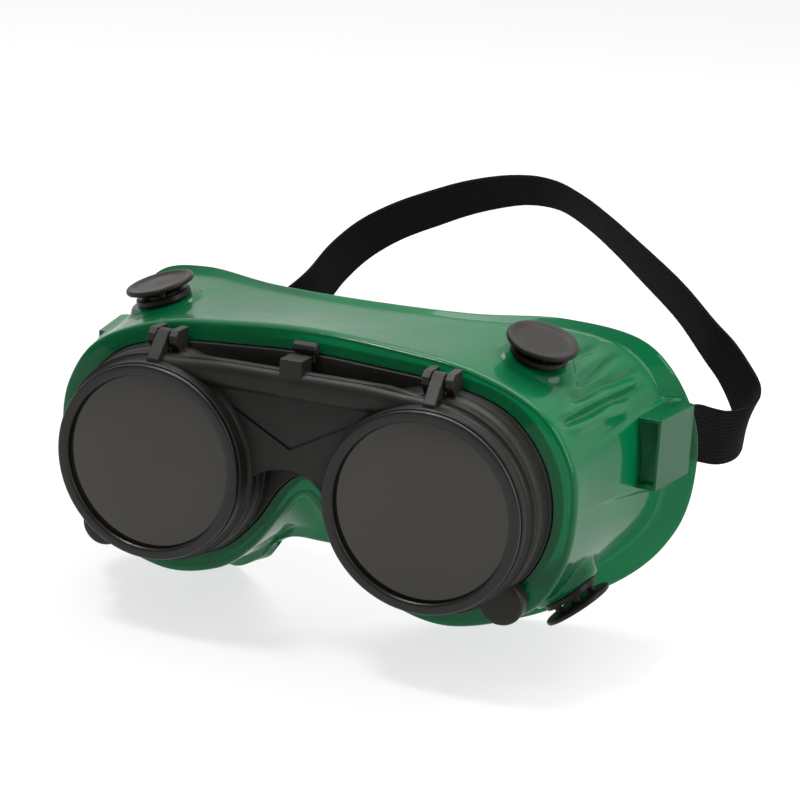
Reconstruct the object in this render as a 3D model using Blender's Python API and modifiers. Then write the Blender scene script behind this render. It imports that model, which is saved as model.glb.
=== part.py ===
"""Welding goggles with a flip-up front.

A soft green eye cup holds a black lens carrier with two clear lenses. A second
black front with two dark lenses hinges on the carrier and swings up over the
brow. Four mushroom vents, an elastic strap and its slider complete the piece.

Lengths below are millimetres. X runs across the face, Y from the front of the
lens rings (0) towards the wearer, Z up from the lens centres. The last step
moves everything so that the origin is where the brow seals against the flange.
"""
from math import acos, cos, pi, radians, sin

import bmesh
import bpy
from mathutils import Matrix, Vector

MM = 0.001                 # metres in a millimetre
SEAT_DEPTH = 57.0          # front of the rings to the brow seal
GAP = 0.3                  # clearance between pieces that touch

# lenses: standard 50 mm round welding lenses
LENS_RADIUS = 25.0
LENS_SPACING = 79.2
EYE_X = LENS_SPACING / 2
LENS_BORE = LENS_RADIUS + 0.5
LENS_WINDOW = 23.6
GLASS_VIEW = 24.2
DARK_LENS_THICK = 3.4
CLEAR_LENS_THICK = 1.7

# flip-up front
RING_RADIUS = 27.3
RING_FLANGE = 1.2
RING_SLEEVE = (25.35, 26.3)    # inner and outer radius of the sleeve round the lens
RING_BACK = 4.6
TUBE_RADIUS = 27.8
TUBE_BORE = 26.6
TUBE_FRONT = RING_FLANGE + GAP
WEB_FRONT, WEB_BACK = 6.0, 8.4
WEB_RADIUS = 29.2
DARK_SEAT = 5.2            # face of the lip that the dark lens rests on
RAIL_TOP, RAIL_BOTTOM = 30.3, 22.8
WEB_HALF = 27.0
RAIL_HALF = 36.0
NOSE_ARCH_RADIUS, NOSE_ARCH_Z = 17.0, -13.8
CAM_HALF, CAM_TOP, CAM_BOTTOM = 3.2, 33.75, 26.0
CAM_FRONT, CAM_BACK = 3.7, 11.4

# hinges above each lens
HINGE_Y, HINGE_Z = 10.6, 32.95
KNUCKLE_RADIUS = 2.5
ARM_HALF = 1.75
HINGE_HALF = 4.4
PIN_RADIUS, PIN_BORE = 0.9, 1.2

# lens carrier
CUP_FRONT, CUP_BACK = 8.9, 15.0
CUP_FRONT_RADIUS, CUP_BACK_RADIUS = 29.4, 30.3
CLEAR_SEAT = 12.5
PLUG_FRONT = 14.8
FACE_Y = 16.0              # outer face of the green front wall
WALL = 1.8                 # wall thickness of the green cup
CARRIER_BACK = 19.8
EAR_X, EAR_Z, EAR_RADIUS = 59.3, -24.6, 6.3
TONGUE_HALF, TONGUE_Y, TONGUE_Z, TONGUE_RADIUS = 3.5, 14.4, 35.0, 1.6

# vents: seat centre on the wall, direction out of the wall
VENT_SEATS = {
    "top_left": ((-55.9, 39.8, 34.6), (-0.25, -0.156, 0.955)),
    "top_right": ((55.9, 39.8, 34.6), (0.25, -0.156, 0.955)),
    "bottom_left": ((-69.2, 39.0, -28.0), (-0.64, 0.0, -0.77)),
    "bottom_right": ((69.2, 39.0, -28.0), (0.64, 0.0, -0.77)),
}
SEAT_RADIUS, SEAT_RISE, SEAT_THICK = 9.6, 0.5, 5.4
VENT_HOLE, NECK_RADIUS, NECK_BORE = 6.2, 5.9, 4.6
VENT_RING, VENT_RING_TOP = 8.7, 2.0
POST_TOP, POSTS = 3.5, 6
CAP_RADIUS, CAP_BOTTOM, CAP_TOP = 9.9, 3.8, 5.5
NUT_RADIUS, NUT_THICK = 8.2, 1.6

# strap lugs on the side walls
LUG_FRONT, LUG_BACK = 56.0, 77.5
LUG_LOW, LUG_HIGH, LUG_WEB = -2.3, 17.7, 1.5
LUG_OUTER = ((86.9, LUG_FRONT), (91.2, LUG_BACK))
STRAP_Z = (LUG_LOW + LUG_HIGH) / 2

# strap
STRAP_WIDTH, STRAP_THICK = 16.0, 1.0
LAYER = STRAP_THICK + 0.35          # pitch of two layers that lie together
END_PIN_RADIUS = 0.8
LOOP_RADIUS = END_PIN_RADIUS + GAP + STRAP_THICK / 2
LEFT_TAIL = 73.0
RIGHT_TAIL = 8.0
TAPER = 7.0                         # run in which the two layers part
SLIDER_AT = 19.5                    # along its straight stretch, at rest
SLIDER_SIZE = (15.0, 6.0, 23.0)     # along the strap, through it, across it

# Half outlines, top centre to bottom centre: x, y, z. They share their order, so
# point 5 is the widest point of each and point 8 its lowest under the eye.
OPENING = [(0, FACE_Y, 33.6), (20, FACE_Y, 32.7)]
OPENING += [(EYE_X + 31 * cos(radians(a)), FACE_Y, 31 * sin(radians(a)))
            for a in (90, 57, 27, -3, -32, -61, -90, -119, -146)]
OPENING += [(6.4, FACE_Y, -6.0), (0, FACE_Y, -1.3)]
FACE = [(0, 19.5, 39.2), (24, 19.5, 37.9), (46, 19.5, 35.0), (65, 19.5, 26.9),
        (74.2, 19.5, 14.2), (76.3, 19.5, 0), (73.6, 19.5, -16), (64.4, 19.5, -29.2),
        (44, 19.5, -36.9), (27, 19.5, -34.2), (15.8, 19.5, -26.1), (6.5, 19.5, -14.3),
        (0, 19.5, -8)]
BACK = [(0, 53.5, 37.4), (30, 55.3, 37.7), (54, 61.6, 37.5), (72, 69.6, 31.8), (82, 75, 17),
        (84.2, 76.5, -3), (81.5, 75, -17.5), (70, 69.5, -30.5), (46, 60, -45.5),
        (27, 50, -38.5), (17, 40, -28.5), (8.5, 31.5, -22.3), (0, 28, -20.8)]
FLANGE = [(0, 57, 38.8), (30, 58.7, 39.0), (56, 65.4, 39.6), (77, 73.8, 33.5),
          (89.2, 79.9, 15.5), (91.8, 81.3, -3), (88, 79.2, -21.5), (75, 72.9, -36.5),
          (47, 62.6, -50.5), (31, 53, -44), (20, 43, -33), (10, 34, -26.5),
          (0, 30, -24.7)]

# Route of the strap's middle line from the right end pin round the head to the
# left one, with the direction of its width at each point.
UPRIGHT = (0, 0, 1)
SLIDER_RUN = (Vector((-49.0, 107.5, 17.3)), Vector((-81.0, 88.3, 9.2)))
SLIDER_WIDTH_WAY = (-0.08, -0.3, 1)


def along_run(distance):
    """Point on the straight stretch that the slider runs along."""
    start, end = SLIDER_RUN
    return start + (end - start).normalized() * distance


STRAP_ROUTE = [
    ((85.2, 61.7, STRAP_Z), UPRIGHT), ((86.4, 68.8, STRAP_Z), UPRIGHT),
    ((87.6, 76.5, STRAP_Z), UPRIGHT), ((89.1, 83.2, STRAP_Z), UPRIGHT),
    ((92.0, 89.5, 5.4), UPRIGHT), ((95.6, 96.0, 3.4), UPRIGHT),
    ((98.6, 103.0, 3.5), (0.1, 0, 1)), ((99.6, 109.0, 6.2), (0.25, -0.1, 1)),
    ((97.8, 114.0, 10.2), (0.45, -0.3, 1)), ((94.3, 117.5, 14.3), (0.45, -0.45, 1)),
    ((89.0, 121.0, 19.5), (0.3, -0.45, 1)), ((82.5, 124.0, 24.5), (0.2, -0.5, 1)),
    ((71.0, 131.0, 33.0), (0.1, -0.56, 1)), ((55.0, 142.0, 41.0), (0.04, -0.64, 1)),
    ((42.0, 151.0, 47.0), (0, -0.73, 1)), ((31.0, 157.5, 51.5), (0, -0.85, 1)),
    ((20.0, 161.5, 54.8), (0, -1.0, 1)), ((8.0, 161.5, 55.0), (0, -1.03, 1)),
    ((-6.0, 157.0, 52.0), (0, -0.88, 1)), ((-18.0, 151.0, 47.5), (0, -0.75, 1)),
    ((-28.0, 144.5, 43.0), (0, -0.7, 1)), ((-36.0, 137.0, 37.5), (-0.06, -0.65, 1)),
    ((-41.0, 127.5, 31.0), (-0.12, -0.65, 1)), ((-44.0, 116.5, 23.5), (-0.15, -0.62, 1)),
    (SLIDER_RUN[0], SLIDER_WIDTH_WAY), (along_run(3.5), SLIDER_WIDTH_WAY),
    (along_run(14.0), SLIDER_WIDTH_WAY), (along_run(24.0), SLIDER_WIDTH_WAY),
    (along_run(34.0), SLIDER_WIDTH_WAY), (SLIDER_RUN[1], SLIDER_WIDTH_WAY),
    ((-85.3, 87.3, 8.1), (0, -0.1, 1)), ((-88.3, 85.6, STRAP_Z), UPRIGHT),
    ((-88.9, 81.5, STRAP_Z), UPRIGHT), ((-87.6, 76.5, STRAP_Z), UPRIGHT),
    ((-86.4, 68.8, STRAP_Z), UPRIGHT), ((-85.2, 61.7, STRAP_Z), UPRIGHT),
]

COLOURS = {                # base colour, roughness, metallic
    "green_pvc": ((0.02, 0.30, 0.15), 0.25, 0.0),
    "black_plastic": ((0.028, 0.027, 0.026), 0.45, 0.0),
    "vent_plastic": ((0.035, 0.03, 0.03), 0.38, 0.0),
    "dark_glass": ((0.02, 0.03, 0.02), 0.05, 0.0),
    "clear_glass": ((0.85, 0.9, 0.9), 0.03, 0.0),
    "steel": ((0.6, 0.6, 0.62), 0.3, 1.0),
    "elastic": ((0.02, 0.02, 0.02), 0.85, 0.0),
}


# ---------------------------------------------------------------- scene helpers
def clear_scene():
    for thing in list(bpy.data.objects):
        bpy.data.objects.remove(thing, do_unlink=True)


def make_collection(name):
    collection = bpy.data.collections.new(name)
    bpy.context.scene.collection.children.link(collection)
    return collection


def make_material(name):
    colour, roughness, metallic = COLOURS[name]
    material = bpy.data.materials.new(name)
    material.use_nodes = True
    shader = material.node_tree.nodes["Principled BSDF"]
    shader.inputs["Base Color"].default_value = (*colour, 1)
    shader.inputs["Roughness"].default_value = roughness
    shader.inputs["Metallic"].default_value = metallic
    return material


clear_scene()
PARTS = make_collection("welding_goggles")
CUTTERS = make_collection("cutters")
MATERIALS = {name: make_material(name) for name in COLOURS}
ORIGIN = bpy.data.objects.new("goggles_origin", None)
PARTS.objects.link(ORIGIN)
ORIGIN.location = (0, -SEAT_DEPTH * MM, 0)


def add_object(name, mesh, material=None):
    """A part with a material, or a hidden cutter without one."""
    thing = bpy.data.objects.new(name, mesh)
    thing.parent = ORIGIN
    if material:
        PARTS.objects.link(thing)
        mesh.materials.append(MATERIALS[material])
    else:
        CUTTERS.objects.link(thing)
        thing.hide_render = True
        thing.display_type = "WIRE"
    return thing


def boolean(target, cutter, operation="DIFFERENCE"):
    modifier = target.modifiers.new(operation.lower(), "BOOLEAN")
    modifier.operation = operation
    modifier.solver = "EXACT"
    modifier.object = cutter


def join(target, *pieces):
    for piece in pieces:
        boolean(target, piece, "UNION")


def cut(target, *cutters):
    for cutter in cutters:
        boolean(target, cutter)


def bevel(thing, width, segments=1, angle=30):
    modifier = thing.modifiers.new("bevel", "BEVEL")
    modifier.width = width * MM
    modifier.segments = segments
    modifier.limit_method = "ANGLE"
    modifier.angle_limit = radians(angle)


def smooth(mesh, angle=35):
    mesh.shade_smooth()
    mesh.set_sharp_from_angle(angle=radians(angle))


# ---------------------------------------------------------------- shape helpers
def box(name, low, high, material=None):
    """Box between two corners."""
    bm = bmesh.new()
    bmesh.ops.create_cube(bm, size=1)
    low, high = Vector(low) * MM, Vector(high) * MM
    for vert in bm.verts:
        vert.co = Vector([(0.5 + c) * h + (0.5 - c) * l
                          for c, l, h in zip(vert.co, low, high)])
    mesh = bpy.data.meshes.new(name)
    bm.to_mesh(mesh)
    bm.free()
    return add_object(name, mesh, material)


def cylinder(name, start, end, radius, material=None, segments=32, end_radius=None):
    """Cylinder or cone from one point to another."""
    start, end = Vector(start) * MM, Vector(end) * MM
    axis = end - start
    bm = bmesh.new()
    bmesh.ops.create_cone(bm, cap_ends=True, segments=segments, radius1=radius * MM,
                          radius2=(end_radius or radius) * MM, depth=axis.length)
    turn = Vector((0, 0, 1)).rotation_difference(axis).to_matrix().to_4x4()
    bm.transform(Matrix.Translation((start + end) / 2) @ turn)
    mesh = bpy.data.meshes.new(name)
    bm.to_mesh(mesh)
    bm.free()
    smooth(mesh)
    return add_object(name, mesh, material)


def turned(name, profile, centre, axis, material=None, steps=32):
    """Closed profile of (radius, height) turned about an axis through centre.

    The profile runs down the outer side and back up the inner one."""
    mesh = bpy.data.meshes.new(name)
    points = [(r * MM, 0, h * MM) for r, h in profile]
    count = len(points)
    on_axis = profile[0][0] == 0
    last = count - 1 if on_axis else count
    edges = [(i, (i + 1) % count) for i in range(last)]
    mesh.from_pydata(points, edges, [])
    thing = add_object(name, mesh, material)
    screw = thing.modifiers.new("turn", "SCREW")
    screw.axis = "Z"
    screw.steps = screw.render_steps = steps
    screw.use_merge_vertices = True
    screw.merge_threshold = 0.00001
    thing.location = Vector(centre) * MM
    thing.rotation_mode = "QUATERNION"
    thing.rotation_quaternion = Vector((0, 0, 1)).rotation_difference(Vector(axis))
    return thing


def plate(name, outline, front, back, material=None):
    """Flat sheet of a closed (x, z) outline that stands between two depths."""
    curve = bpy.data.curves.new(name + "_curve", "CURVE")
    curve.dimensions = "2D"
    curve.fill_mode = "BOTH"
    curve.extrude = (back - front) / 2 * MM
    spline = curve.splines.new("POLY")
    spline.points.add(len(outline) - 1)
    for point, (x, z) in zip(spline.points, outline):
        point.co = (x * MM, z * MM, 0, 1)
    spline.use_cyclic_u = True
    return curve_to_mesh(name, curve, Matrix.Translation((0, (front + back) / 2 * MM, 0))
                         @ Matrix.Rotation(pi / 2, 4, "X"), material)


def side_plate(name, outline, x_low, x_high, material=None):
    """Flat sheet of a closed (y, z) outline that spans x_low to x_high."""
    thing = plate(name, outline, x_low, x_high, material)
    # plate stands facing Y; a quarter turn faces it along X
    thing.data.transform(Matrix(((0, 1, 0, 0), (1, 0, 0, 0), (0, 0, 1, 0), (0, 0, 0, 1))))
    thing.data.flip_normals()
    return thing


def curve_to_mesh(name, curve, place, material):
    holder = bpy.data.objects.new(name + "_curve", curve)
    bpy.context.scene.collection.objects.link(holder)
    graph = bpy.context.evaluated_depsgraph_get()
    mesh = bpy.data.meshes.new_from_object(holder.evaluated_get(graph))
    mesh.name = name
    bpy.data.objects.remove(holder)
    bm = bmesh.new()
    bm.from_mesh(mesh)
    bmesh.ops.remove_doubles(bm, verts=bm.verts, dist=0.000001)
    bmesh.ops.dissolve_limit(bm, angle_limit=0.001, verts=bm.verts, edges=bm.edges)
    bmesh.ops.recalc_face_normals(bm, faces=bm.faces)
    bm.transform(place)
    bm.to_mesh(mesh)
    bm.free()
    mesh.materials.clear()
    smooth(mesh)
    return add_object(name, mesh, material)


def curve_point(before, start, end, after, t):
    """Catmull-Rom spline between start and end."""
    return 0.5 * (2 * start + (end - before) * t
                  + (2 * before - 5 * start + 4 * end - after) * t ** 2
                  + (3 * start - before - 3 * end + after) * t ** 3)


def closed_outline(half, per_span=3):
    """Smooth closed outline from a half that is mirrored across X = 0."""
    points = [Vector(p) for p in half]
    points += [Vector((-p.x, p.y, p.z)) for p in reversed(points[1:-1])]
    count = len(points)
    return [curve_point(points[i - 1], points[i], points[(i + 1) % count],
                        points[(i + 2) % count], step / per_span)
            for i in range(count) for step in range(per_span)]


def grown(outline, distance):
    """(x, z) outline moved outwards; the outline runs clockwise seen from the front."""
    result = []
    for i, point in enumerate(outline):
        along = outline[(i + 1) % len(outline)] - outline[i - 1]
        out = Vector((-along.z, 0, along.x)).normalized()
        moved = point + out * distance
        result.append((moved.x, moved.z))
    return result


def mixed(ring_a, ring_b, share, depth_share=None):
    """Ring part of the way from one to another, with its own share in depth."""
    depth_share = share if depth_share is None else depth_share
    return [Vector((a.x + (b.x - a.x) * share, a.y + (b.y - a.y) * depth_share,
                    a.z + (b.z - a.z) * share)) for a, b in zip(ring_a, ring_b)]


def loft(name, rings, material, close_ends):
    """Skin over rings with equal point counts, front ring first."""
    bm = bmesh.new()
    rows = [[bm.verts.new(Vector(p) * MM) for p in ring] for ring in rings]
    count = len(rows[0])
    for near, far in zip(rows, rows[1:]):
        for i in range(count):
            j = (i + 1) % count
            bm.faces.new((near[i], near[j], far[j], far[i]))
    if close_ends:
        bm.faces.new(reversed(rows[0]))
        bm.faces.new(rows[-1])
    bmesh.ops.recalc_face_normals(bm, faces=bm.faces)
    mesh = bpy.data.meshes.new(name)
    bm.to_mesh(mesh)
    bm.free()
    smooth(mesh)
    return add_object(name, mesh, material)


# ---------------------------------------------------------------- green eye cup
def body_rings():
    """Rings of the cup's outer skin, from the lens opening to the flange's edge."""
    opening, face = closed_outline(OPENING), closed_outline(FACE)
    back, flange = closed_outline(BACK), closed_outline(FLANGE)
    rings = [opening]
    for angle in (0, 30, 60):
        turn = radians(angle)
        rings.append(mixed(face, opening, 0.5 * (1 - sin(turn)), cos(turn)))
    for share in (0, 0.25, 0.5, 0.75, 1):
        waist = 1 - 0.012 * sin(pi * share)
        rings.append([Vector((p.x * waist, p.y, p.z * waist))
                      for p in mixed(face, back, share)])
    for angle in (30, 60, 90):
        turn = radians(angle)
        rings.append(mixed(back, flange, 1 - cos(turn), sin(turn)))
    return rings


def lug_block(side):
    """Solid lug outside the side wall, and the pocket and slot cut out of it."""
    (x0, y0), (x1, y1) = LUG_OUTER
    name = "lug_right" if side > 0 else "lug_left"

    def upright(label, plan, low, high):
        points = [[Vector((side * x, y, z)) for x, y in plan] for z in (low, high)]
        return loft(name + label, points, None, True)

    block = upright("_block", ((79.0, y0), (x0, y0), (x1, y1), (83.4, y1)),
                    LUG_LOW, LUG_HIGH)
    pocket = upright("_pocket", ((79.9, y0 - 2), (x0 - LUG_WEB - 0.4, y0 - 2),
                                 (x1 - LUG_WEB - 0.9, 73.0), (82.6, 73.0)),
                     LUG_LOW + LUG_WEB, LUG_HIGH - LUG_WEB)
    slot = upright("_slot", ((84.5, 72.0), (88.8, 72.0), (90.4, 84.0), (86.3, 84.0)),
                   LUG_LOW + LUG_WEB - 0.3, LUG_HIGH - LUG_WEB)
    return block, pocket, slot


def make_body():
    body = loft("goggle_body", body_rings(), "green_pvc", False)
    shell = body.modifiers.new("wall", "SOLIDIFY")
    shell.thickness = WALL * MM
    shell.offset = 1
    for label, (seat, out) in VENT_SEATS.items():
        seat, out = Vector(seat), Vector(out).normalized()
        join(body, cylinder("vent_seat_" + label, seat - out * (SEAT_THICK - SEAT_RISE),
                            seat + out * SEAT_RISE, SEAT_RADIUS, segments=28))
        cut(body, cylinder("vent_hole_" + label, seat - out * 9, seat + out * 6,
                           VENT_HOLE, segments=24))
    for side in (1, -1):
        block, pocket, slot = lug_block(side)
        join(body, block)
        cut(body, pocket, slot)
    return body


# ---------------------------------------------------------------- lens carrier
def eye_bores(target, label, bore_radius, bore_front, seat, window_back):
    for side in (1, -1):
        x = side * EYE_X
        cut(target, cylinder(f"{label}_bore_{side}", (x, bore_front, 0), (x, seat, 0),
                             bore_radius, segments=40),
            cylinder(f"{label}_window_{side}", (x, seat - 1, 0), (x, window_back, 0),
                     LENS_WINDOW, segments=40))


def hinge_knuckle(label, x_low, x_high):
    """Octagonal knuckle on a foot that runs back to the carrier."""
    reach = KNUCKLE_RADIUS / cos(pi / 8)
    outline = [(HINGE_Y + reach * cos(radians(a)), HINGE_Z + reach * sin(radians(a)))
               for a in (67.5, 112.5, 157.5, 202.5, 247.5)]
    outline += [(HINGE_Y - 0.4, 29.2), (PLUG_FRONT + 0.6, 29.2),
                (PLUG_FRONT + 0.6, HINGE_Z + KNUCKLE_RADIUS)]
    return side_plate(label, outline, x_low, x_high)


def make_carrier():
    opening = closed_outline(OPENING)
    carrier = plate("lens_carrier", grown(opening, -0.35), PLUG_FRONT,
                    FACE_Y + WALL + 0.4, "black_plastic")
    join(carrier, plate("carrier_rear_flange", grown(opening, 1.7),
                        FACE_Y + WALL + GAP, CARRIER_BACK))
    for side in (1, -1):
        x = side * EYE_X
        join(carrier, cylinder(f"cup_{side}", (x, CUP_FRONT, 0), (x, CUP_BACK, 0),
                               CUP_FRONT_RADIUS, end_radius=CUP_BACK_RADIUS,
                               segments=40))
        ear_x = side * EAR_X
        join(carrier, cylinder(f"ear_{side}", (ear_x, 11.2, EAR_Z),
                               (ear_x, FACE_Y - 0.4, EAR_Z), EAR_RADIUS, segments=20))
        for inner, outer in ((ARM_HALF + GAP, HINGE_HALF), (-HINGE_HALF, -ARM_HALF - GAP)):
            join(carrier, hinge_knuckle(f"knuckle_{side}_{outer:.0f}", x + inner, x + outer))
    neck = box("tongue_neck", (-TONGUE_HALF + 0.8, TONGUE_Y - 0.7, 31.0),
               (TONGUE_HALF - 0.8, TONGUE_Y + 0.9, TONGUE_Z))
    bar = cylinder("tongue_bar", (-TONGUE_HALF, TONGUE_Y, TONGUE_Z),
                   (TONGUE_HALF, TONGUE_Y, TONGUE_Z), TONGUE_RADIUS, segments=12)
    join(carrier, neck, bar)
    eye_bores(carrier, "carrier", LENS_BORE, CUP_FRONT - 1, CLEAR_SEAT, CARRIER_BACK + 1)
    cut_pin_bores(carrier, "carrier")
    return carrier


def cut_pin_bores(target, label):
    for side in (1, -1):
        x = side * EYE_X
        cut(target, cylinder(f"{label}_pin_bore_{side}", (x - 6, HINGE_Y, HINGE_Z),
                             (x + 6, HINGE_Y, HINGE_Z), PIN_BORE, segments=12))


# ---------------------------------------------------------------- flip-up front
def make_flip_front():
    """Web plate with tubes, rail, hinge arms and the square detent cam."""
    web = [(-WEB_HALF, RAIL_TOP), (WEB_HALF, RAIL_TOP), (WEB_HALF, -12.0),
           (-WEB_HALF, -12.0)]
    front = plate("flip_front_frame", web, WEB_FRONT, WEB_BACK, "black_plastic")
    for side in (1, -1):
        x = side * EYE_X
        join(front, cylinder(f"web_disc_{side}", (x, WEB_FRONT, 0), (x, WEB_BACK, 0),
                             WEB_RADIUS, segments=48),
             cylinder(f"tube_{side}", (x, TUBE_FRONT, 0), (x, WEB_FRONT + 1, 0),
                      TUBE_RADIUS, segments=48))
    rail = box("rail", (-RAIL_HALF, 4.3, RAIL_BOTTOM), (RAIL_HALF, WEB_FRONT + 1, RAIL_TOP))
    bevel(rail, 1.5, 2)
    cam = box("detent_cam", (-CAM_HALF, CAM_FRONT, CAM_BOTTOM),
              (CAM_HALF, CAM_BACK, CAM_TOP))
    join(front, rail, cam)
    cut(front, cylinder("nose_arch", (0, 0, NOSE_ARCH_Z), (0, 12, NOSE_ARCH_Z),
                        NOSE_ARCH_RADIUS, segments=48))
    for side in (1, -1):
        x = side * EYE_X
        arm = [(HINGE_Y - 1.7, HINGE_Z + 2.3), (2.9, 28.3), (2.9, 26.9), (6.6, 26.9),
               (8.3, 29.0), (HINGE_Y - 1.2, HINGE_Z - 2.2), (HINGE_Y, HINGE_Z)]
        join(front, side_plate(f"arm_{side}", arm, x - ARM_HALF, x + ARM_HALF),
             cylinder(f"barrel_{side}", (x - ARM_HALF, HINGE_Y, HINGE_Z),
                      (x + ARM_HALF, HINGE_Y, HINGE_Z), KNUCKLE_RADIUS - 0.05,
                      segments=16))
        groove = [(side * 22.6, 20.8), (side * 22.1, 21.3), (-side * 0.3, 9.4),
                  (0, 8.7)]
        cut(front, plate(f"groove_{side}", groove, WEB_FRONT - 1, WEB_FRONT + 0.5))
    eye_bores(front, "front", TUBE_BORE, TUBE_FRONT - 1, DARK_SEAT, WEB_BACK + 1)
    cut_pin_bores(front, "front")
    return front


# ---------------------------------------------------------------- lenses and rings
def make_lens(name, side, front, thickness, material):
    x = side * EYE_X
    return cylinder(name, (x, front, 0), (x, front + thickness, 0), LENS_RADIUS,
                    material, segments=40)


def make_ring(name, side, front, profile):
    """Retaining ring from a profile of (radius, depth behind its front)."""
    # heights grow towards the front, so depth changes sign
    return turned(name, [(r, -depth) for r, depth in profile], (side * EYE_X, front, 0),
                  (0, -1, 0), "black_plastic", steps=40)


def dark_ring_profile():
    """Flange over the lens edge with a sleeve that runs back round the lens."""
    inner, outer = RING_SLEEVE
    return [(GLASS_VIEW, 0.5), (GLASS_VIEW + 0.5, 0), (RING_RADIUS - 0.35, 0),
            (RING_RADIUS, 0.35), (RING_RADIUS, RING_FLANGE), (outer, RING_FLANGE),
            (outer, RING_BACK), (inner, RING_BACK), (inner, RING_FLANGE),
            (GLASS_VIEW, RING_FLANGE)]


def clear_ring_profile(depth):
    radius = LENS_BORE - GAP
    return [(GLASS_VIEW, 0), (radius, 0), (radius, depth), (GLASS_VIEW, depth)]


def make_lenses():
    for side, label in ((-1, "left"), (1, "right")):
        dark_front = DARK_SEAT - GAP - DARK_LENS_THICK
        make_lens(f"dark_lens_{label}", side, dark_front, DARK_LENS_THICK, "dark_glass")
        make_ring(f"dark_lens_ring_{label}", side, 0, dark_ring_profile())
        clear_front = CLEAR_SEAT - GAP - CLEAR_LENS_THICK
        make_lens(f"clear_lens_{label}", side, clear_front, CLEAR_LENS_THICK,
                  "clear_glass")
        ring_front = CUP_FRONT + 0.1
        make_ring(f"clear_lens_ring_{label}", side, ring_front,
                  clear_ring_profile(clear_front - GAP - ring_front))
        x = side * EYE_X
        cylinder(f"hinge_pin_{label}", (x - HINGE_HALF + 0.2, HINGE_Y, HINGE_Z),
                 (x + HINGE_HALF - 0.2, HINGE_Y, HINGE_Z), PIN_RADIUS, "steel",
                 segments=12)


# ---------------------------------------------------------------- vents
def make_vent(label, seat, out):
    """Base with a neck through the wall, a cap on posts and a ring nut inside."""
    out = Vector(out).normalized()
    seat = Vector(seat) + out * SEAT_RISE
    base = turned("vent_base_" + label,
                  [(NECK_BORE, VENT_RING_TOP), (VENT_RING - 0.4, VENT_RING_TOP),
                   (VENT_RING, VENT_RING_TOP - 0.4), (VENT_RING, GAP),
                   (NECK_RADIUS, GAP), (NECK_RADIUS, -SEAT_THICK - NUT_THICK - 0.8),
                   (NECK_BORE, -SEAT_THICK - NUT_THICK - 0.8)],
                  seat, out, "vent_plastic", steps=24)
    turn = Vector((0, 0, 1)).rotation_difference(out)
    for index in range(POSTS):
        angle = 2 * pi * index / POSTS
        foot = seat + turn @ Vector((5.8 * cos(angle), 5.8 * sin(angle), 1.2))
        join(base, cylinder(f"post_{label}_{index}", foot, foot + out * (POST_TOP - 1.2),
                            0.9, segments=6))
    turned("vent_cap_" + label,
           [(0, CAP_TOP - 0.5), (7.6, CAP_TOP - 0.5), (8.5, CAP_TOP),
            (CAP_RADIUS - 0.4, CAP_TOP), (CAP_RADIUS, CAP_TOP - 0.4),
            (CAP_RADIUS, CAP_TOP - 1.1), (CAP_RADIUS - 0.5, CAP_TOP - 1.5),
            (7.2, CAP_BOTTOM), (0, CAP_BOTTOM)],
           seat, out, "vent_plastic", steps=24)
    nut_top = -SEAT_THICK - GAP
    turned("vent_nut_" + label,
           [(NECK_RADIUS + GAP, nut_top), (NUT_RADIUS, nut_top),
            (NUT_RADIUS, nut_top - NUT_THICK), (NECK_RADIUS + GAP, nut_top - NUT_THICK)],
           seat, out, "vent_plastic", steps=24)


# ---------------------------------------------------------------- strap
def strap_line(route, step=4.0):
    """Middle line of the strap as (point, width, outward) frames, evenly spaced."""
    points = [Vector(p) for p, _ in route]
    widths = [Vector(w).normalized() for _, w in route]
    dense = []
    for i in range(len(points) - 1):
        before, after = max(i - 1, 0), min(i + 2, len(points) - 1)
        for k in range(12):
            t = k / 12
            dense.append((curve_point(points[before], points[i], points[i + 1],
                                      points[after], t),
                          widths[i].lerp(widths[i + 1], t)))
    dense.append((points[-1], widths[-1]))
    line, travelled = [dense[0]], 0.0
    for (start, _), (end, width) in zip(dense, dense[1:]):
        travelled += (end - start).length
        if travelled >= step:
            line.append((end, width))
            travelled = 0.0
    frames = []
    for i, (point, width) in enumerate(line):
        along = line[min(i + 1, len(line) - 1)][0] - line[max(i - 1, 0)][0]
        along.normalize()
        width = (width - along * width.dot(along)).normalized()
        frames.append((point, width, along.cross(width)))
    return frames


def doubled_end(frames, tail):
    """The end of the strap: round its end pin and back inside the first layer."""
    point, width, outward = frames[0]
    along = (frames[1][0] - point).normalized()
    centre = point - outward * LOOP_RADIUS
    turn = [(centre + outward * LOOP_RADIUS * cos(a) - along * LOOP_RADIUS * sin(a),
             width, outward * cos(a) - along * sin(a))
            for a in (radians(d) for d in (150, 120, 90, 60, 30))]
    layer, travelled = [], 0.0
    for (before, _, _), (place, width, outward) in zip([frames[0]] + frames, frames):
        travelled += (place - before).length
        if travelled > tail:
            break
        spread = max(0.0, 1 - travelled / TAPER)
        offset = LAYER + (2 * LOOP_RADIUS - LAYER) * spread * spread * (3 - 2 * spread)
        layer.append((place - outward * offset, width, -outward))
    return list(reversed(layer)) + turn


def make_strap():
    frames = strap_line(STRAP_ROUTE)
    path = doubled_end(frames, RIGHT_TAIL) + frames
    path += list(reversed(doubled_end(list(reversed(frames)), LEFT_TAIL)))
    rings = []
    for point, width, outward in path:
        across, through = width * STRAP_WIDTH / 2, outward * STRAP_THICK / 2
        rings.append([point + across + through, point + across - through,
                      point - across - through, point - across + through])
    loft("elastic_strap", rings, "elastic", True)
    return frames


def make_end_pins(frames):
    for label, (point, _, outward) in (("right", frames[0]), ("left", frames[-1])):
        centre = point - outward * LOOP_RADIUS
        cylinder(f"strap_end_pin_{label}", (centre.x, centre.y, LUG_LOW + LUG_WEB + GAP),
                 (centre.x, centre.y, LUG_HIGH - LUG_WEB - GAP), END_PIN_RADIUS,
                 "steel", segments=12)


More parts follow.
